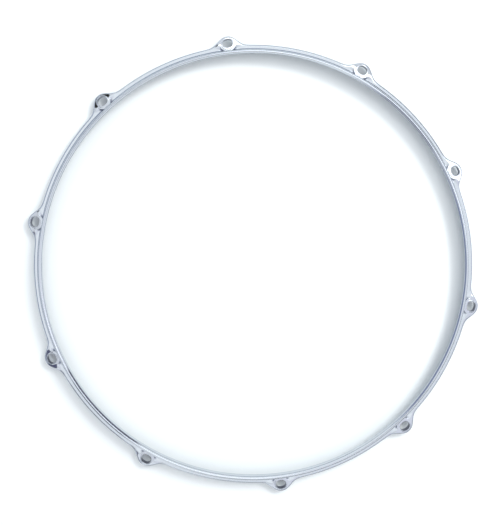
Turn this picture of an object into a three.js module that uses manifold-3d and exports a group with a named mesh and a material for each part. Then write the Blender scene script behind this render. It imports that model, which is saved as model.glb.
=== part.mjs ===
// Die-cast drum hoop for a 14 inch snare drum, ten tension ears.
// Millimetres, +Z up. The origin is the centre of the plane the skirt stands on; the striking lip is at the top.
// The real hoop is one zinc casting. Here it is laid out as ten equal lengths, and each length as its part of the
// upright wall with the lip, and its part of the flange and skirt with the tension ear. Every hollow of the casting
// then lies between plain solids: the playing opening inside the wall, the recess under the wall, and the rod holes.
import * as THREE from "three";
import { mergeVertices } from "three/addons/utils/BufferGeometryUtils.js";
import Module from "manifold-3d";

// ---- driving dimensions ----------------------------------------------------------------------------------------
const EARS = 10; // tension ears, evenly spaced
const SEGMENTS = 120; // steps round the hoop, a whole number for each ear
const HEIGHT = 19.0; // skirt edge to top of the lip
const R_LIP_IN = 180.0; // inside of the striking lip, over the playing surface
const LIP_ROUND = 1.45; // the lip's full round
const R_WALL_FOOT = 184.16; // outside of the wall at its foot, after its draft
const R_FILLET = 185.95; // where the fillet at the wall's foot runs out on the flange
const R_SKIRT_IN = 185.5; // recess that takes the drumhead's own hoop
const R_SKIRT_OUT = 187.1; // outside of the skirt, clear of the tension rods
const R_FLANGE = 188.9; // outside of the flange
const Z_SHOULDER = 5.5; // shoulder that presses on the drumhead's hoop
const Z_BEVEL = 8.0; // where the inner wall turns into the collar relief
const R_INNER_FOOT = 181.2; // inside of the wall there: it leans out a little downwards
const R_BEVEL = 182.4; // inner edge of the flat shoulder
const Z_FLANGE = 8.5; // crest of the flange
const R_CREST = 187.5; // where that is
const GUTTER = 0.15; // how much lower the flange is at the wall's foot
const Z_EAR = 8.8; // top of the ears' wings
const Z_FLANGE_LOW = 4.6; // underside of the flange's edge
const R_HOLES = 191.0; // circle of the tension rod holes
const EAR_REACH = 8.1; // ear tip beyond the flange
const EAR_WIDTH = 9.67; // width of the bell outline
const EAR_POWER = 2.4; // squareness of the bell outline
const EAR_HALF = 16.5; // half the stretch of flange that an ear blends into
const EAR_EASE = 0.8; // eased edge round the ear, top and bottom
const R_EAR_ROOT = 187.0; // ears grow out of the flange from here
const Z_EAR_BOTTOM = 3.0; // underside of the ear
const Z_SEAT = 9.1; // washer seat
const R_SEAT = 5.9; // round washer seat about the hole
const HOLE_T = 4.3; // half the hole, round the hoop
const HOLE_R = 3.6; // half the hole, across the hoop
const HOLE_CHAMFER = 0.3; // countersink at the top
const HOLE_BREAK = 0.2; // broken edge at the bottom
const R_SPLIT = 184.8; // circle between the wall and the flange
const GAP = 0.1; // between neighbouring solids

// ---- solids ----------------------------------------------------------------------------------------------------
const wasm = await Module();
wasm.setup();

function solid(geometry) {
  const g = geometry.index ? geometry.toNonIndexed() : geometry.clone();
  g.deleteAttribute("normal");
  g.deleteAttribute("uv");
  const merged = mergeVertices(g, 1e-4);
  const triVerts = new Uint32Array(merged.index.array);
  const vertProperties = new Float32Array(merged.attributes.position.array);
  let made = new wasm.Manifold(new wasm.Mesh({ numProp: 3, vertProperties, triVerts }));
  if (made.volume() < 0) {
    for (let i = 0; i < triVerts.length; i += 3)
      [triVerts[i + 1], triVerts[i + 2]] = [triVerts[i + 2], triVerts[i + 1]];
    made = new wasm.Manifold(new wasm.Mesh({ numProp: 3, vertProperties, triVerts }));
  }
  return made;
}

function geometryOf(s) {
  const m = s.getMesh();
  const v = new Float32Array(m.numVert * 3);
  for (let i = 0; i < m.numVert; i++)
    v.set(m.vertProperties.subarray(i * m.numProp, i * m.numProp + 3), i * 3);
  const g = new THREE.BufferGeometry();
  g.setAttribute("position", new THREE.BufferAttribute(v, 3));
  g.setIndex(new THREE.BufferAttribute(new Uint32Array(m.triVerts), 1));
  g.computeVertexNormals();
  return g;
}

// A closed outline of radius and height, turned about the hoop's axis.
function revolved(section) {
  const points = [...section, section[0]].map(([r, z]) => new THREE.Vector2(r, z));
  return solid(new THREE.LatheGeometry(points, SEGMENTS).rotateX(Math.PI / 2));
}

const polar = (r, a) => [r * Math.cos(a), r * Math.sin(a)];

// A plan outline stood up from one height to another.
function upright(points, low, high) {
  const shape = new THREE.Shape();
  points.forEach(([x, y], i) => (i ? shape.lineTo(x, y) : shape.moveTo(x, y)));
  shape.closePath();
  const g = new THREE.ExtrudeGeometry(shape, { depth: high - low, bevelEnabled: false });
  return solid(g.translate(0, 0, low));
}

// A point of the lip's round, at an angle from straight out.
function onLip(degrees) {
  const a = (degrees * Math.PI) / 180;
  return [R_LIP_IN + LIP_ROUND * (1 + Math.cos(a)), HEIGHT - LIP_ROUND * (1 - Math.sin(a))];
}

// The whole section, from the skirt's foot up the outside, over the lip and down the inside.
const SECTION = [
  [R_SKIRT_IN + 0.4, 0],
  [R_SKIRT_OUT - 0.4, 0],
  [R_SKIRT_OUT, 0.4],
  [R_SKIRT_OUT, Z_FLANGE_LOW + R_SKIRT_OUT - R_FLANGE],
  [R_FLANGE, Z_FLANGE_LOW],
  [R_FLANGE, Z_FLANGE - 1.5],
  [R_FLANGE - 0.2, Z_FLANGE - 0.75],
  [R_FLANGE - 0.7, Z_FLANGE - 0.2],
  [R_CREST, Z_FLANGE],
  [R_FILLET, Z_FLANGE - GUTTER],
  [R_FILLET - 0.75, Z_FLANGE + 0.05],
  [R_WALL_FOOT + 0.45, Z_FLANGE + 0.5],
  [R_WALL_FOOT + 0.1, Z_FLANGE + 1.1],
  [R_WALL_FOOT, Z_FLANGE + 1.7],
  ...[9.4, 36, 63, 90, 114, 138, 162, 187.2].map(onLip),
  [R_INNER_FOOT, Z_BEVEL],
  [R_BEVEL, Z_SHOULDER],
  [R_SKIRT_IN, Z_SHOULDER],
  [R_SKIRT_IN, 0.4],
];

// How far an ear stands beyond the flange, at a distance t round the hoop from its hole.
function earReach(t) {
  const bell = (x) => Math.exp(-Math.pow(Math.abs(x) / EAR_WIDTH, EAR_POWER));
  if (Math.abs(t) >= EAR_HALF) return 0;
  return (EAR_REACH * (bell(t) - bell(EAR_HALF))) / (1 - bell(EAR_HALF));
}

// The ear's bell, rooted in the flange, out to the tip, with its edges eased top and bottom.
function bell(angle) {
  const steps = 18;
  const half = EAR_HALF / R_HOLES;
  const points = [];
  for (let i = 0; i <= steps; i++) {
    const a = -half + (2 * half * i) / steps;
    points.push(polar(R_FLANGE + earReach(a * R_HOLES) - EAR_EASE, angle + a));
  }
  for (const a of [half, 0, -half]) points.push(polar(R_EAR_ROOT, angle + a));
  const shape = new THREE.Shape();
  points.forEach(([x, y], i) => (i ? shape.lineTo(x, y) : shape.moveTo(x, y)));
  shape.closePath();
  const g = new THREE.ExtrudeGeometry(shape, {
    depth: Z_EAR - Z_EAR_BOTTOM - 2 * EAR_EASE,
    bevelEnabled: true,
    bevelThickness: EAR_EASE,
    bevelSize: EAR_EASE,
    bevelSegments: 1,
  });
  return solid(g.translate(0, 0, Z_EAR_BOTTOM + EAR_EASE));
}

// The round seat about the hole, drafted a little, which stands on the flange as far in as the foot of the wall.
function seat(angle) {
  const [x, y] = polar(R_HOLES, angle);
  const low = Z_SHOULDER + 0.5;
  const g = new THREE.CylinderGeometry(R_SEAT - 0.75, R_SEAT, Z_SEAT - low, 24)
    .rotateX(Math.PI / 2)
    .translate(x, y, (Z_SEAT + low) / 2);
  return solid(g);
}

// The rod hole: a little longer round the hoop than across it, countersunk at the top. It clears the skirt.
function hole(angle) {
  const [x, y] = polar(R_HOLES, angle);
  const past = 2;
  const profile = [
    [0, Z_EAR_BOTTOM - past],
    [1 + HOLE_BREAK / HOLE_T, Z_EAR_BOTTOM - past],
    [1 + HOLE_BREAK / HOLE_T, Z_EAR_BOTTOM],
    [1, Z_EAR_BOTTOM + HOLE_BREAK],
    [1, Z_SEAT - HOLE_CHAMFER],
    [1 + (HOLE_CHAMFER + past) / HOLE_T, Z_SEAT + past],
    [0, Z_SEAT + past],
  ].map(([r, z]) => new THREE.Vector2(r, z));
  const g = new THREE.LatheGeometry(profile, 24)
    .rotateX(Math.PI / 2)
    .scale(HOLE_R, HOLE_T, 1)
    .rotateZ(angle)
    .translate(x, y, 0);
  return solid(g);
}

// A tenth of the circle between two radii, as a block that takes in the whole height.
function tenth(angle, inner, outer) {
  const step = (2 * Math.PI) / SEGMENTS;
  const half = Math.PI / EARS;
  const turns = [];
  for (let a = -half; a < half + step / 2; a += step) turns.push(a);
  turns[0] += GAP / 2 / R_FLANGE;
  turns[turns.length - 1] -= GAP / 2 / R_FLANGE;
  const inside = turns.map((a) => polar(inner, angle + a)).reverse();
  const outside = turns.map((a) => polar(outer, angle + a));
  return upright([...outside, ...inside], -2, HEIGHT + 2);
}

const angles = Array.from({ length: EARS }, (_, i) => (2 * Math.PI * i) / EARS);

const ring = revolved(SECTION);
const walls = angles.map((a) => ring.intersect(tenth(a, R_LIP_IN - 5, R_SPLIT)));
const ears = angles.map((a) =>
  ring
    .add(bell(a))
    .add(seat(a))
    .subtract(hole(a))
    .intersect(tenth(a, R_SPLIT + GAP, R_FLANGE + EAR_REACH + 4)),
);

// ---- scene graph -----------------------------------------------------------------------------------------------
const hoop = new THREE.Group();

function part(name, s) {
  const mesh = new THREE.Mesh(
    geometryOf(s),
    new THREE.MeshStandardMaterial({ color: 0xd9dde6, roughness: 0.06, metalness: 1.0 }),
  );
  mesh.name = name;
  hoop.add(mesh);
}

const number = (i) => String(i + 1).padStart(2, "0");
walls.forEach((s, i) => part("lip_wall_" + number(i), s));
ears.forEach((s, i) => part("tension_ear_" + number(i), s));

export default hoop;
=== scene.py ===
import math

import bmesh
import bpy
import numpy as np
from mathutils import Matrix, Vector


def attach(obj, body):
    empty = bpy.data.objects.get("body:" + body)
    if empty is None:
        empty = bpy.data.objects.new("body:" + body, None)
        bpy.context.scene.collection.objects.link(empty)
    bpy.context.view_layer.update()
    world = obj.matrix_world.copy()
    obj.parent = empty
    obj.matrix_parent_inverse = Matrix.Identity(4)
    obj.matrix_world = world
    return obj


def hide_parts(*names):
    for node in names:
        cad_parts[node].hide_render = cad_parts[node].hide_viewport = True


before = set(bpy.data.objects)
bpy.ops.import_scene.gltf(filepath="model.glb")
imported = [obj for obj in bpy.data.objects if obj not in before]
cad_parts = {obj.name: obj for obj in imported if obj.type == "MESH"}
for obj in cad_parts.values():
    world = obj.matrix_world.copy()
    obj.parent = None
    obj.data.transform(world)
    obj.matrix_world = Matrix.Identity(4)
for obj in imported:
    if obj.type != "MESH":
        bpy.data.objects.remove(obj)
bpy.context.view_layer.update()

MM = 0.001

# ---------------------------------------------------------------------------------------------------- dimensions, mm
EARS = 10
R_HOLES = 191.0
R_FLANGE = 188.88       # outline between the ears
EAR_REACH = 8.1         # ear tip beyond it
EAR_WIDTH = 9.67
EAR_POWER = 2.4
R_WALL_AT_GRID = 184.45  # where the flange's grid hands over to the wall's rows
Z_FLANGE = 8.35         # foot of the wall's fillet
R_CREST, Z_CREST = 187.5, 8.5   # the flange rises a little from the fillet to a crest, then rounds over
Z_EAR = 9.0             # the ears' level top
R_PAD, PAD_RUN = 7.0, 0.45        # it runs in to the wall as a round pad about the hole, with a stepped edge
R_WING, WING_FALL = 189.8, 4.0   # beyond here the wings fall outwards, degrees
Z_SEAT = 9.1
R_SEAT_FLAT = 5.05      # the washer seat is flat to here, about a point a little inside the hole's middle
R_SEAT_RUN = 5.45       # and has run out on the ear here
SEAT_IN = 0.6
HOLE_T, HOLE_R = 4.3, 3.6
HOLE_POWER = 2.35       # a little squarer than an ellipse
SINK = 0.2              # broken edge of the hole
R_SKIRT_IN, R_SKIRT_OUT = 185.5, 187.05
R_INNER_FOOT, Z_INNER_FOOT = 181.2, 8.0
LIP_ROUND = 1.45
LIP_MID = (181.45, 17.55)
Z_UNDER_EAR = 3.0
Z_UNDER_FLANGE = 4.5
PATCH = 9.0             # half width of the grid round a rod hole
HALF = math.pi / EARS


def smooth(x, a, b):
    t = np.clip((np.asarray(x, float) - a) / (b - a), 0.0, 1.0)
    return t * t * (3 - 2 * t)


def bezier(p0, p1, p2, p3, n):
    t = np.linspace(0, 1, n + 1)[:, None]
    p0, p1, p2, p3 = (np.array(p, float) for p in (p0, p1, p2, p3))
    return (1 - t) ** 3 * p0 + 3 * (1 - t) ** 2 * t * p1 + 3 * (1 - t) * t ** 2 * p2 + t ** 3 * p3


# the fillet at the wall's foot, from the flange in and up on to the drafted wall
DRAFT = np.array([-0.165, 1.0]) / math.hypot(0.165, 1.0)
FOOT = np.array([184.16, 10.2])
R_CORNER = 185.75       # the flange meets it in a crisp line
FILLET = bezier((R_CORNER, Z_FLANGE), (185.05, Z_FLANGE + 0.26), FOOT - 1.0 * DRAFT, FOOT, 60)


def reach(phi):
    """How far the outline stands beyond the flange at an angle from an ear's middle."""
    u = np.abs(phi) * R_HOLES
    return EAR_REACH * np.exp(-((u / EAR_WIDTH) ** EAR_POWER))


def outline(phi, off=0.0):
    """A point of the plan outline, moved in along its normal by off: x along the hoop, y out."""
    def at(p):
        r = R_FLANGE + reach(p)
        return np.stack([r * np.sin(p), r * np.cos(p)], -1)
    phi = np.asarray(phi, float)
    h = 1e-4
    t = at(phi + h) - at(phi - h)
    n = np.stack([-t[..., 1], t[..., 0]], -1)
    n /= np.linalg.norm(n, axis=-1, keepdims=True)
    p = at(phi)
    n *= np.sign((n * p).sum(-1, keepdims=True))
    return p - n * np.asarray(off)[..., None]


def ear_share(phi):
    return smooth(reach(phi) / EAR_REACH, 0.02, 0.55)


def top_height(x, y):
    """Height of the flange, wings, washer seat and the wall's fillet at a point of the plan."""
    x, y = np.asarray(x, float), np.asarray(y, float)
    r = np.hypot(x, y)
    phi = np.arctan2(x, y)
    share = ear_share(phi)
    d = np.hypot(x, y - R_HOLES)
    gutter = Z_CREST - (Z_CREST - Z_FLANGE) / (R_CREST - R_CORNER) * (R_CREST - np.clip(r, R_CORNER, R_CREST))
    beyond = np.clip(r - R_WING, 0, None)
    ear = Z_EAR - math.tan(math.radians(WING_FALL)) * beyond * beyond / (beyond + 0.35)
    pad = 1 - smooth(d, R_PAD, R_PAD + PAD_RUN)
    wing = smooth(r, 187.2, 188.8) * share
    base = gutter + (ear - gutter) * (1 - (1 - pad) * (1 - wing))
    fillet = np.interp(r, FILLET[::-1, 0], FILLET[::-1, 1])
    base = np.maximum(base, np.where(r < R_CORNER, fillet, 0))
    seat = 1 - smooth(np.hypot(x, y - R_HOLES + SEAT_IN), R_SEAT_FLAT, R_SEAT_RUN)
    return np.where(base < Z_SEAT, base + (Z_SEAT - base) * seat, base)


# ---------------------------------------------------------------------------------------------------- the rows
# Each row is a line right round the hoop. A row is a function of the angle from an ear's middle that gives x, y, z.
OUTER = (0, .04, .2, .4, .6, .8, 1.0)     # shares of the way in from the edge to just before the wall's fillet
INNER = (R_CORNER, R_CORNER - 0.02, R_CORNER - 0.28, R_CORNER - 0.6, 184.79, R_WALL_AT_GRID)   # and on from there
N_SIDE = len(OUTER) + len(INNER) - 1
ROWS = []


def plain(r, z):
    return lambda phi: np.stack([r * np.sin(phi), r * np.cos(phi), np.full_like(phi, z)], -1)


def edge_radius(phi):
    """How far in the rounding of the top edge starts."""
    return 1.38 - 0.43 * ear_share(phi)


def start_of_top(phi):
    p = outline(phi, edge_radius(phi))
    return p


def top_row(k):
    def row(phi):
        r = R_CORNER + 0.02 if k < len(OUTER) else INNER[k - len(OUTER)]
        p = np.stack([r * np.sin(phi), r * np.cos(phi)], -1)
        if k < len(OUTER):
            a = start_of_top(phi)
            p = a + (p - a) * OUTER[k]
        return np.concatenate([p, top_height(p[..., 0], p[..., 1])[..., None]], -1)
    return row


def under_height(phi):
    return Z_UNDER_FLANGE + (Z_UNDER_EAR - Z_UNDER_FLANGE) * ear_share(phi)


EDGE_LOW = 0.5
EDGE_TURN = math.radians(75)
SIDE_DRAFT = 0.12


def under_row(k):
    def row(phi):
        a = np.stack([R_SKIRT_OUT * np.sin(phi), R_SKIRT_OUT * np.cos(phi)], -1)
        b = outline(phi, np.full_like(phi, EDGE_LOW + SIDE_DRAFT))
        f = k / N_SIDE
        p = a + (b - a) * f
        z = Z_UNDER_EAR + (under_height(phi) - Z_UNDER_EAR) * f
        return np.concatenate([p, z[..., None]], -1)
    return row


def low_edge_row(t):
    def row(phi):
        p = outline(phi, SIDE_DRAFT + EDGE_LOW * (1 - np.sin(t)) * np.ones_like(phi))
        z = under_height(phi) + EDGE_LOW * (1 - np.cos(t))
        return np.concatenate([p, z[..., None]], -1)
    return row


def edge_drop(phi):
    """How far down the rounding of the top edge runs."""
    return edge_radius(phi) * (0.85 - 0.25 * ear_share(phi)) * math.sin(EDGE_TURN) / (1 - math.cos(EDGE_TURN))


def top_edge_row(t):
    def row(phi):
        p = outline(phi, edge_radius(phi) * (1 - np.cos(t)) / (1 - math.cos(EDGE_TURN)))
        q = start_of_top(phi)
        z = top_height(q[..., 0], q[..., 1]) - edge_drop(phi) * (1 - np.sin(t) / math.sin(EDGE_TURN))
        return np.concatenate([p, z[..., None]], -1)
    return row


def side_row(f):
    low, high = low_edge_row(math.pi / 2), top_edge_row(0.0)
    return lambda phi: low(phi) + (high(phi) - low(phi)) * f


for k in range(N_SIDE + 1):
    ROWS.append(("under", k, under_row(k)))
for t in (30, 60, 90):
    ROWS.append(("edge", 0, low_edge_row(math.radians(t))))
for f in (0.5,):
    ROWS.append(("edge", 0, side_row(f)))
for t in (0, 12, 24, 36, 48, 59, 68, 73.5):
    ROWS.append(("edge", 0, top_edge_row(math.radians(t))))
for k in range(N_SIDE + 1):
    ROWS.append(("top", k, top_row(k)))

# the rest of the section is the same all the way round
section = []
for r, z in FILLET:
    if r < R_WALL_AT_GRID - 0.02:
        section.append((r, z))
section = section[2::6] + [tuple(FOOT)]
def on_lip(degrees):
    a = math.radians(degrees)
    return np.array([LIP_MID[0] + LIP_ROUND * math.cos(a), LIP_MID[1] + LIP_ROUND * math.sin(a)])


# the wall leans in on both sides, and the lip is rounded
lip_out, lip_in = on_lip(9.4), np.array([179.42, 17.3])
for f in (0.35, 0.7):
    section.append(tuple(FOOT + (lip_out - FOOT) * f))
section += [tuple(on_lip(a)) for a in np.linspace(9.4, 127, 14)]
# inside, the round runs into a flat bevel, which ends in a small edge
section += [tuple(on_lip(127) - np.array([1, math.tan(math.radians(37))]) * w) for w in (0.04, 0.4, 0.75, 1.1)]
section += [(179.42, 17.7), tuple(lip_in)]
inner_foot = np.array([R_INNER_FOOT, Z_INNER_FOOT])
for f in (0.16, 0.34, 0.52, 0.7, 0.86):
    section.append(tuple(lip_in + (inner_foot - lip_in) * f))
section += [tuple(p) for p in bezier(inner_foot, (181.27, 7.4), (181.35, 7.05), (181.55, 6.7), 4)]
section += [tuple(p) for p in bezier((181.95, 6.0), (182.1, 5.7), (182.25, 5.5), (182.6, 5.5), 3)]
section += [(183.4, 5.5), (184.3, 5.5)]
section += [tuple(p) for p in bezier((185.1, 5.5), (185.36, 5.5), (185.5, 5.36), (185.5, 5.1), 3)]
section += [(R_SKIRT_IN, z) for z in (4.0, 2.8, 1.4)]
section += [tuple(p) for p in bezier((R_SKIRT_IN, 0.4), (R_SKIRT_IN, 0.14), (R_SKIRT_IN + 0.14, 0), (R_SKIRT_IN + 0.4, 0), 3)]
section += [(186.3, 0.0)]
section += [tuple(p) for p in bezier((R_SKIRT_OUT - 0.4, 0), (R_SKIRT_OUT - 0.14, 0), (R_SKIRT_OUT, 0.14), (R_SKIRT_OUT, 0.4), 3)]
section += [(R_SKIRT_OUT, z) for z in (1.2, 2.1)]
for r, z in section:
    ROWS.append(("rest", 0, plain(r, z)))


# ---------------------------------------------------------------------------------------------------- the columns
def columns():
    """Angles from one ear's middle to the next, close together beside the ear."""
    n = 18
    near = np.linspace(0, PATCH, n + 1)
    far, step, u = [], PATCH / n, PATCH
    end = HALF * R_HOLES
    while u < end - 0.5:
        step = min(step * 1.09, 2.4)
        u += step
        far.append(u)
    far = np.array(far)
    far = PATCH + (far - PATCH) * (end - PATCH) / (far[-1] - PATCH)
    pos = np.concatenate([near, far]) / R_HOLES
    return np.concatenate([-pos[:0:-1], pos]), len(pos) - 1, n


COLS, MID, PATCH_N = columns()          # COLS[MID] is 0
C = len(COLS) - 1                       # the last column is the next ear's first
LEFT, RIGHT = MID - PATCH_N, MID + PATCH_N


def corner_shade_mask(x, y, z):
    """1 in the two corners where an ear's round pad meets the foot of the wall: the mask of the painted shade there.
    """
    r, a = math.hypot(x, y), math.atan2(y, x)
    a -= 2 * HALF * round(a / (2 * HALF))
    d = math.hypot(r * math.sin(a), r * math.cos(a) - R_HOLES)
    if z < Z_UNDER_EAR + 2 or r < 184.0:
        return 0.0
    m = smooth(d, 6.75, 7.15) * (1 - smooth(d, 7.7, 9.3)) * (1 - smooth(r, 186.7, 187.7))
    return float(m)


class Builder:
    def __init__(self):
        self.co, self.zone, self.corner = [], [], []

    def add(self, points, zone=0.0):
        start = len(self.co)
        self.co.extend(points)
        self.zone.extend([zone] * len(points))
        self.corner.extend(corner_shade_mask(x, y, z) for x, y, z in points)
        return list(range(start, start + len(points)))


def hole_radius(alpha, a_t, a_r):
    p = HOLE_POWER
    return (np.abs(np.sin(alpha) / a_t) ** p + np.abs(np.cos(alpha) / a_r) ** p) ** (-1 / p)


def casting():
    b = Builder()
    faces = []
    row_points = [f(COLS[:-1]) for _, _, f in ROWS]   # each C by 3, in the ear's frame
    under0 = [i for i, r in enumerate(ROWS) if r[0] == "under"]
    top0 = [i for i, r in enumerate(ROWS) if r[0] == "top"]
    n_rows = len(ROWS)
    ids = np.full((EARS, n_rows, C), -1, int)

    def turned(points, ear):
        """From the ear's frame, y out, to the hoop's, where ear 0 is on +X."""
        a = 2 * math.pi * ear / EARS
        out = np.array([math.cos(a), math.sin(a)])
        along = np.array([math.sin(a), -math.cos(a)])     # x grows clockwise, so that x, y, z is right-handed
        p = np.asarray(points, float)
        xy = p[:, 0:1] * along + p[:, 1:2] * out
        return [(float(q[0]), float(q[1]), float(z)) for q, z in zip(xy, p[:, 2])]

    def inside_patch(row, col):
        kind, k, _ = ROWS[row]
        return kind in ("under", "top") and 0 < k < N_SIDE and LEFT < col < RIGHT

    for e in range(EARS):
        for j in range(n_rows):
            keep = [c for c in range(C) if not inside_patch(j, c)]
            made = b.add(turned(row_points[j][keep], e))
            for c, i in zip(keep, made):
                ids[e, j, c] = i

    def vid(e, j, c):
        """x grows clockwise from an ear, so its last column is the first of the ear before it."""
        if c == C:
            return ids[(e - 1) % EARS, j % n_rows, 0]
        return ids[e, j % n_rows, c]

    for e in range(EARS):
        for j in range(n_rows):
            kind, k, _ = ROWS[j]
            for c in range(C):
                if kind in ("under", "top") and k < N_SIDE and LEFT <= c < RIGHT:
                    continue
                faces.append((vid(e, j, c), vid(e, j, c + 1), vid(e, j + 1, c + 1), vid(e, j + 1, c)))

        # the grids round the rod hole, above and below, joined by its wall
        rims = []
        for rows, loops, low in ((top0, 26, False), (under0[::-1], 7, True)):
            first, last = rows[0], rows[-1]
            ring = [(first, c) for c in range(LEFT, RIGHT)]
            ring += [(j, RIGHT) for j in rows[:-1]]
            ring += [(last, c) for c in range(RIGHT, LEFT, -1)]
            ring += [(j, LEFT) for j in rows[:0:-1]]
            flat = np.array([row_points[j][c] for j, c in ring])
            outer_ids = [vid(e, j, c) for j, c in ring]
            rel = flat[:, :2] - np.array([0, R_HOLES])
            alpha = np.arctan2(rel[:, 0], rel[:, 1])
            way = np.stack([np.sin(alpha), np.cos(alpha)], -1)
            edge = 0.0 if low else SINK
            rim = way * hole_radius(alpha, HOLE_T + edge, HOLE_R + edge)[:, None]
            previous = outer_ids
            for s in range(1, loops + 1):
                f = s / loops
                f = f if low else 1 - (1 - f) ** 1.15
                q = rel + (rim - rel) * f
                x, y = q[:, 0], q[:, 1] + R_HOLES
                if low:
                    share = 1 - smooth(f, 0, 0.8)
                    z = Z_UNDER_EAR + (flat[:, 2] - Z_UNDER_EAR) * (1 - f) ** 1.5
                else:
                    z = top_height(x, y)
                made = b.add(turned(np.stack([x, y, z], -1), e))
                m = len(made)
                for i in range(m):
                    n = (i + 1) % m
                    faces.append((previous[i], previous[n], made[n], made[i]))
                previous = made
            rims.append((previous, alpha, way))
        (top_ids, alpha, way), (low_ids, low_alpha, low_way) = rims
        # broken edge and bore
        steps = []
        for t in (0.25, 0.55, 0.8):
            steps.append((SINK * (1 - t), -SINK * t, 0.0))
        for t in (0.35, 0.7, 1.0):
            steps.append((0.0, -SINK - 0.10 - 0.22 * t, 1.0))
        depth = Z_SEAT - Z_UNDER_EAR
        for f in (0.25, 0.5, 0.75, 0.93):
            steps.append((0.0, -SINK - 0.32 + (-depth + SINK + 0.32) * f, 1.0))
        previous = top_ids
        count = len(top_ids)
        blend_alpha = np.unwrap(alpha)
        target = np.unwrap(low_alpha)
        for s, (grow, dz, zone) in enumerate(steps):
            f = (s + 1) / (len(steps) + 1)
            al = blend_alpha + (target - blend_alpha) * f
            w = np.stack([np.sin(al), np.cos(al)], -1)
            q = w * hole_radius(al, HOLE_T + grow, HOLE_R + grow)[:, None]
            p = np.stack([q[:, 0], q[:, 1] + R_HOLES, np.full(count, Z_SEAT + dz)], -1)
            made = b.add(turned(p, e), zone)
            for i in range(count):
                n = (i + 1) % count
                faces.append((previous[i], previous[n], made[n], made[i]))
            previous = made
        for i in range(count):
            n = (i + 1) % count
            faces.append((previous[i], previous[n], low_ids[n], low_ids[i]))
    return b, faces


def mesh_from(name, verts, faces):
    mesh = bpy.data.meshes.new(name)
    mesh.from_pydata([(x * MM, y * MM, z * MM) for x, y, z in verts], [], faces)
    mesh.update()
    bm = bmesh.new()
    bm.from_mesh(mesh)
    bmesh.ops.recalc_face_normals(bm, faces=bm.faces)
    open_edges = [e for e in bm.edges if len(e.link_faces) != 2]
    volume = bm.calc_volume(signed=True)
    bm.to_mesh(mesh)
    bm.free()
    print("MESH", name, len(mesh.vertices), "vertices", len(mesh.polygons), "faces", len(open_edges), "open edges", round(volume * 1e6, 2), "cm3")
    for p in mesh.polygons:
        p.use_smooth = True
    return mesh


builder, faces = casting()
mesh = mesh_from("hoop_casting", builder.co, faces)
bore = mesh.attributes.new("bore", "FLOAT", "POINT")
bore.data.foreach_set("value", np.array(builder.zone, np.float32))
# the corner attribute masks the painted shade in the corners by the wall
corner = mesh.attributes.new("corner", "FLOAT", "POINT")
corner.data.foreach_set("value", np.array(builder.corner, np.float32))
hoop = bpy.data.objects.new("hoop_casting", mesh)
bpy.context.scene.collection.objects.link(hoop)


# ---------------------------------------------------------------------------------------------------- materials
def chrome_material():
    m = bpy.data.materials.new("chrome_plate")
    m.use_nodes = True
    nt = m.node_tree
    for n in list(nt.nodes):
        nt.nodes.remove(n)
    N, L = nt.nodes.new, nt.links.new
    out = N("ShaderNodeOutputMaterial")
    bsdf = N("ShaderNodeBsdfPrincipled")
    L(bsdf.outputs["BSDF"], out.inputs["Surface"])
    bsdf.inputs["Metallic"].default_value = 1.0
    coords = N("ShaderNodeTexCoord")

    # polish: even, with slow cloudy patches of slightly duller plate
    cloud = N("ShaderNodeTexNoise")
    cloud.inputs["Scale"].default_value = 55.0
    cloud.inputs["Detail"].default_value = 5.0
    L(coords.outputs["Object"], cloud.inputs["Vector"])
    rough = N("ShaderNodeMapRange")
    rough.inputs["From Min"].default_value = 0.35
    rough.inputs["From Max"].default_value = 0.75
    rough.inputs["To Min"].default_value = 0.045
    rough.inputs["To Max"].default_value = 0.10
    L(cloud.outputs["Fac"], rough.inputs["Value"])
    L(rough.outputs["Result"], bsdf.inputs["Roughness"])

    tint = N("ShaderNodeMix")
    tint.data_type = "RGBA"
    tint.inputs["A"].default_value = (0.565, 0.612, 0.660, 1)
    tint.inputs["B"].default_value = (0.535, 0.585, 0.640, 1)
    L(cloud.outputs["Fac"], tint.inputs["Factor"])

    # the rod holes: the base colour is darker down the bore
    mask = N("ShaderNodeAttribute")
    mask.attribute_name = "bore"
    dark = N("ShaderNodeMix")
    dark.data_type = "RGBA"
    dark.inputs["B"].default_value = (0.20, 0.21, 0.27, 1)
    L(tint.outputs["Result"], dark.inputs["A"])
    L(mask.outputs["Fac"], dark.inputs["Factor"])

    # painted shade: the corners by the wall, where an ear's pad meets the wall's foot, get a darker base colour, in
    # cloudy patches
    corners = N("ShaderNodeAttribute")
    corners.attribute_name = "corner"
    patchy = N("ShaderNodeMapRange")
    patchy.inputs["From Min"].default_value = 0.3
    patchy.inputs["From Max"].default_value = 0.7
    patchy.inputs["To Min"].default_value = 0.65
    patchy.inputs["To Max"].default_value = 1.0
    L(cloud.outputs["Fac"], patchy.inputs["Value"])
    amount = N("ShaderNodeMath")
    amount.operation = "MULTIPLY"
    L(corners.outputs["Fac"], amount.inputs[0])
    L(patchy.outputs["Result"], amount.inputs[1])
    painted_corner_shade = N("ShaderNodeMix")
    painted_corner_shade.data_type = "RGBA"
    painted_corner_shade.inputs["B"].default_value = (0.16, 0.18, 0.24, 1)
    L(dark.outputs["Result"], painted_corner_shade.inputs["A"])
    L(amount.outputs["Value"], painted_corner_shade.inputs["Factor"])
    L(painted_corner_shade.outputs["Result"], bsdf.inputs["Base Color"])

    # the plate follows the polished casting's slight waves
    wave = N("ShaderNodeTexNoise")
    wave.inputs["Scale"].default_value = 140.0
    wave.inputs["Detail"].default_value = 2.0
    L(coords.outputs["Object"], wave.inputs["Vector"])
    bump = N("ShaderNodeBump")
    bump.inputs["Strength"].default_value = 0.35
    bump.inputs["Distance"].default_value = 0.00003
    L(wave.outputs["Fac"], bump.inputs["Height"])
    L(bump.outputs["Normal"], bsdf.inputs["Normal"])
    return m


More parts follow.
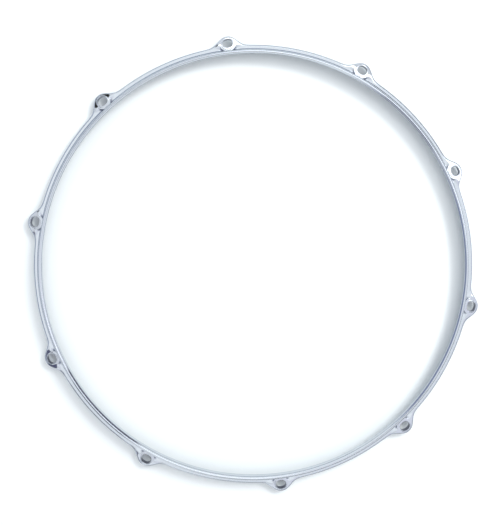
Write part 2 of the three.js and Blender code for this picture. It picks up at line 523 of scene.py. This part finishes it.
mesh.materials.append(chrome_material())
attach(hoop, "root")
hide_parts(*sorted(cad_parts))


# ---------------------------------------------------------------------------------------------------- stage
def floor_material():
    m = bpy.data.materials.new("floor")
    m.use_nodes = True
    b = m.node_tree.nodes["Principled BSDF"]
    b.inputs["Base Color"].default_value = (0.925, 0.97, 0.96, 1)
    b.inputs["Roughness"].default_value = 0.9
    b.inputs["Specular IOR Level"].default_value = 0.1
    return m


bm = bmesh.new()
bmesh.ops.create_grid(bm, x_segments=1, y_segments=1, size=4.0)
floor_mesh = bpy.data.meshes.new("floor")
bm.to_mesh(floor_mesh)
bm.free()
floor = bpy.data.objects.new("floor", floor_mesh)
floor_mesh.materials.append(floor_material())
bpy.context.scene.collection.objects.link(floor)

# ---------------------------------------------------------------------------------------------------- camera
# The hoop's own angles are the picture's plus TURN, so that ear 0 lies 11 degrees below the picture's right.
TURN = math.radians(11.04)
F_PX, W_PX, H_PX = 789.5, 500, 525
PP = (255.0, 204.1)               # where the lens's axis meets the picture
STAND = (-13.3, 57.8, 686.5)      # the lens over the hoop, mm, x and y as in the picture
LEAN = (-0.503, -1.167, 0.04)     # degrees from straight down


def picture(dx, dy, dz=0.0):
    """A vector in the picture, x right and y up, as one in the hoop's frame."""
    c, s = math.cos(TURN), math.sin(TURN)
    return Vector((c * dx - s * dy, s * dx + c * dy, dz))


cam_data = bpy.data.cameras.new("camera")
camera = bpy.data.objects.new("camera", cam_data)
bpy.context.scene.collection.objects.link(camera)
lean = [math.radians(v) for v in LEAN]
camera.matrix_world = (
    Matrix.Translation(picture(*STAND) * MM)
    @ Matrix.Rotation(TURN + lean[2], 4, "Z")
    @ Matrix.Rotation(lean[0], 4, "X")
    @ Matrix.Rotation(lean[1], 4, "Y")
)
cam_data.sensor_fit = "AUTO"
cam_data.sensor_width = 36.0
cam_data.lens = 36.0 * F_PX / H_PX
cam_data.shift_x = (W_PX / 2 - PP[0]) / H_PX
cam_data.shift_y = -(H_PX / 2 - PP[1]) / H_PX
cam_data.clip_start = 0.01
cam_data.clip_end = 50
bpy.context.scene.camera = camera

# ---------------------------------------------------------------------------------------------------- light
# A white studio with one large soft light overhead, and a few dark flags. Azimuths are angles in the picture, 0 to the
# right and 90 to its top; elevations are over the floor.
world = bpy.data.worlds.new("studio")
bpy.context.scene.world = world
world.use_nodes = True
wt = world.node_tree
WN, WL = wt.nodes.new, wt.links.new
background = wt.nodes["Background"]
background.inputs["Strength"].default_value = 1.30
sky = WN("ShaderNodeTexCoord")
spin = WN("ShaderNodeVectorRotate")
spin.rotation_type = "Z_AXIS"
spin.inputs["Angle"].default_value = -TURN
WL(sky.outputs["Generated"], spin.inputs["Vector"])
axes = WN("ShaderNodeSeparateXYZ")
WL(spin.outputs["Vector"], axes.inputs["Vector"])


def math_node(operation, a, b=None):
    n = WN("ShaderNodeMath")
    n.operation = operation
    for socket, v in zip(n.inputs, (a, b)):
        if v is None:
            continue
        if isinstance(v, (int, float)):
            socket.default_value = v
        else:
            WL(v, socket)
    return n.outputs[0]


elevation = math_node("MULTIPLY", math_node("ARCSINE", axes.outputs["Z"]), 180 / math.pi)


def window(value, half, soft):
    """1 while the value is within half of 0, and 0 beyond half plus soft."""
    n = WN("ShaderNodeMapRange")
    n.interpolation_type = "SMOOTHSTEP"
    n.inputs["From Min"].default_value = half + soft
    n.inputs["From Max"].default_value = half
    WL(math_node("ABSOLUTE", value), n.inputs["Value"])
    return n.outputs["Result"]


def azimuth_from(az):
    """The angle round the skyline from az, -180 to 180 degrees."""
    n = WN("ShaderNodeVectorRotate")
    n.rotation_type = "Z_AXIS"
    n.inputs["Angle"].default_value = -math.radians(az)
    WL(spin.outputs["Vector"], n.inputs["Vector"])
    x = WN("ShaderNodeSeparateXYZ")
    WL(n.outputs["Vector"], x.inputs["Vector"])
    return math_node("MULTIPLY", math_node("ARCTAN2", x.outputs["Y"], x.outputs["X"]), 180 / math.pi)


def angle_from(az, elev):
    """Degrees from a direction."""
    n = WN("ShaderNodeVectorMath")
    n.operation = "DOT_PRODUCT"
    a, e = math.radians(az), math.radians(elev)
    n.inputs[1].default_value = (math.cos(a) * math.cos(e), math.sin(a) * math.cos(e), math.sin(e))
    WL(spin.outputs["Vector"], n.inputs[0])
    clipped = math_node("MINIMUM", n.outputs["Value"], 1.0)
    return math_node("MULTIPLY", math_node("ARCCOSINE", clipped), 180 / math.pi)


def over(colour, mask, top, amount=1.0):
    n = WN("ShaderNodeMix")
    n.data_type = "RGBA"
    WL(math_node("MULTIPLY", mask, amount), n.inputs["Factor"])
    WL(colour, n.inputs["A"])
    n.inputs["B"].default_value = (*top, 1)
    return n.outputs["Result"]


def flag(colour, az, half, soft, elev, tall, fade, shade, amount=1.0):
    """A patch of the sky about az, elev: half and tall are its half sizes, soft and fade its edges, in degrees."""
    mask = math_node("MULTIPLY", window(azimuth_from(az), half, soft), window(math_node("SUBTRACT", elevation, elev), tall, fade))
    return over(colour, mask, shade, amount)


def glow(colour, az, elev, radius, soft, shade, amount=1.0):
    """A round patch."""
    return over(colour, window(angle_from(az, elev), radius, soft), shade, amount)


def reach_of(theta):
    """The plane that holds what the hoop's section at picture angle theta mirrors, as its normal and distance."""
    t = math.radians(theta)
    across = (-math.sin(t), math.cos(t))
    gap = math.hypot(188 * math.cos(t) - STAND[0], 188 * math.sin(t) - STAND[1], STAND[2] - 8.5)
    return across, -(STAND[0] * across[0] + STAND[1] * across[1]) / gap


def sector(colour, first, last, soft, elev, tall, fade, shade, amount=1.0):
    """A patch that outward faces mirror from one picture angle of the hoop to another."""
    sides = []
    for theta, sign in ((first, 1), (last, -1)):
        across, gap = reach_of(theta)
        n = WN("ShaderNodeVectorMath")
        n.operation = "DOT_PRODUCT"
        n.inputs[1].default_value = (across[0], across[1], 0)
        WL(spin.outputs["Vector"], n.inputs[0])
        edge = WN("ShaderNodeMapRange")
        edge.interpolation_type = "SMOOTHSTEP"
        edge.inputs["From Min"].default_value = gap - soft * sign
        edge.inputs["From Max"].default_value = gap + soft * sign
        WL(n.outputs["Value"], edge.inputs["Value"])
        sides.append(edge.outputs["Result"])
    mask = math_node("MULTIPLY", math_node("MULTIPLY", *sides), window(math_node("SUBTRACT", elevation, elev), tall, fade))
    middle = (first + last) / 2
    facing = window(azimuth_from(middle), 80, 10)
    return over(colour, math_node("MULTIPLY", mask, facing), shade, amount)


ramp = WN("ShaderNodeValToRGB")
ramp.color_ramp.interpolation = "EASE"
stops = [(0, (0.80, 0.82, 0.83)), (35, (0.95, 0.97, 0.98)), (60, (0.95, 0.95, 0.98)), (74, (0.71, 0.71, 0.735)), (81, (0.95, 0.955, 0.97)), (86, (1.02, 1.025, 1.03)), (90, (1.04, 1.045, 1.05))]
el = ramp.color_ramp.elements
el[0].position, el[0].color = 0.0, (*stops[0][1], 1)
el[1].position, el[1].color = 1.0, (*stops[-1][1], 1)
for deg, shade in stops[1:-1]:
    e = el.new(deg / 90)
    e.color = (*shade, 1)
WL(math_node("DIVIDE", elevation, 90.0), ramp.inputs["Fac"])
colour = ramp.outputs["Color"]
# the right and the photographer's side are duller
colour = flag(colour, 330, 35, 35, 55, 20, 8, (0.84, 0.83, 0.90))
colour = flag(colour, 7, 24, 18, 0, 21, 6, (0.30, 0.32, 0.40))
colour = flag(colour, 223, 14, 14, 0, 30, 12, (0.45, 0.46, 0.52))
colour = flag(colour, 298, 30, 26, 0, 17, 4, (0.01, 0.01, 0.02))
colour = flag(colour, 298, 30, 26, 42, 4, 4, (0.01, 0.01, 0.02))
colour = flag(colour, 172, 28, 14, 32, 7, 5, (0.26, 0.29, 0.41))
colour = flag(colour, 70, 45, 18, 0, 24, 7, (0.30, 0.32, 0.40))
# flags
colour = flag(colour, 150, 72, 14, 0, 20, 7, (0.30, 0.32, 0.40))
colour = sector(colour, 29, 57, 0.02, 30, 12, 4, (0.12, 0.12, 0.16))
colour = sector(colour, 37, 50, 0.006, 33.0, 3.5, 2, (0.10, 0.10, 0.15))
colour = sector(colour, 213, 233, 0.012, 6, 13, 4, (0.03, 0.035, 0.07))
colour = sector(colour, 213, 233, 0.012, 51, 13, 3, (0.03, 0.035, 0.07))
colour = glow(colour, 217, 65, 6, 2, (0.11, 0.11, 0.18))
colour = glow(colour, 139, 68.0, 6.5, 1.0, (0.01, 0.01, 0.01))
WL(colour, background.inputs["Color"])

# the soft light: its place is in the picture's directions, u away from the hoop's middle and v to the left of that
LIGHT_AZ, LIGHT_Z = 58.0, 0.7165
U, V = (0.252, 0.43), (-0.50, 0.27)
LIGHT_RADIANCE = 2.1
light_data = bpy.data.lights.new("soft_light", "AREA")
light_data.shape = "RECTANGLE"
light_data.size, light_data.size_y = U[1] - U[0], V[1] - V[0]
light_data.energy = LIGHT_RADIANCE * math.pi * light_data.size * light_data.size_y
light = bpy.data.objects.new("soft_light", light_data)
bpy.context.scene.collection.objects.link(light)
turn = math.radians(LIGHT_AZ)
u, v = sum(U) / 2, sum(V) / 2
place = picture(u * math.cos(turn) - v * math.sin(turn), u * math.sin(turn) + v * math.cos(turn), LIGHT_Z)
light.matrix_world = Matrix.Translation(place) @ Matrix.Rotation(TURN + turn, 4, "Z")
light.visible_camera = False

# and a softer fill for the floor from the same side, which throws the hoop's shadow to the lower left
FILL_AZ, FILL_EL, FILL_FAR, FILL_SIZE, FILL_RADIANCE = 42.0, 50.0, 1.6, 0.5, 14.5
fill_data = bpy.data.lights.new("fill_light", "AREA")
fill_data.shape = "SQUARE"
fill_data.size = FILL_SIZE
fill_data.energy = FILL_RADIANCE * math.pi * FILL_SIZE * FILL_SIZE
fill = bpy.data.objects.new("fill_light", fill_data)
bpy.context.scene.collection.objects.link(fill)
az, elev = math.radians(FILL_AZ), math.radians(FILL_EL)
place = picture(FILL_FAR * math.cos(elev) * math.cos(az), FILL_FAR * math.cos(elev) * math.sin(az), FILL_FAR * math.sin(elev))
fill.matrix_world = Matrix.Translation(place) @ place.to_track_quat("Z", "Y").to_matrix().to_4x4()
fill.visible_camera = False
fill.visible_glossy = False

bpy.context.scene.view_settings.view_transform = "Standard"
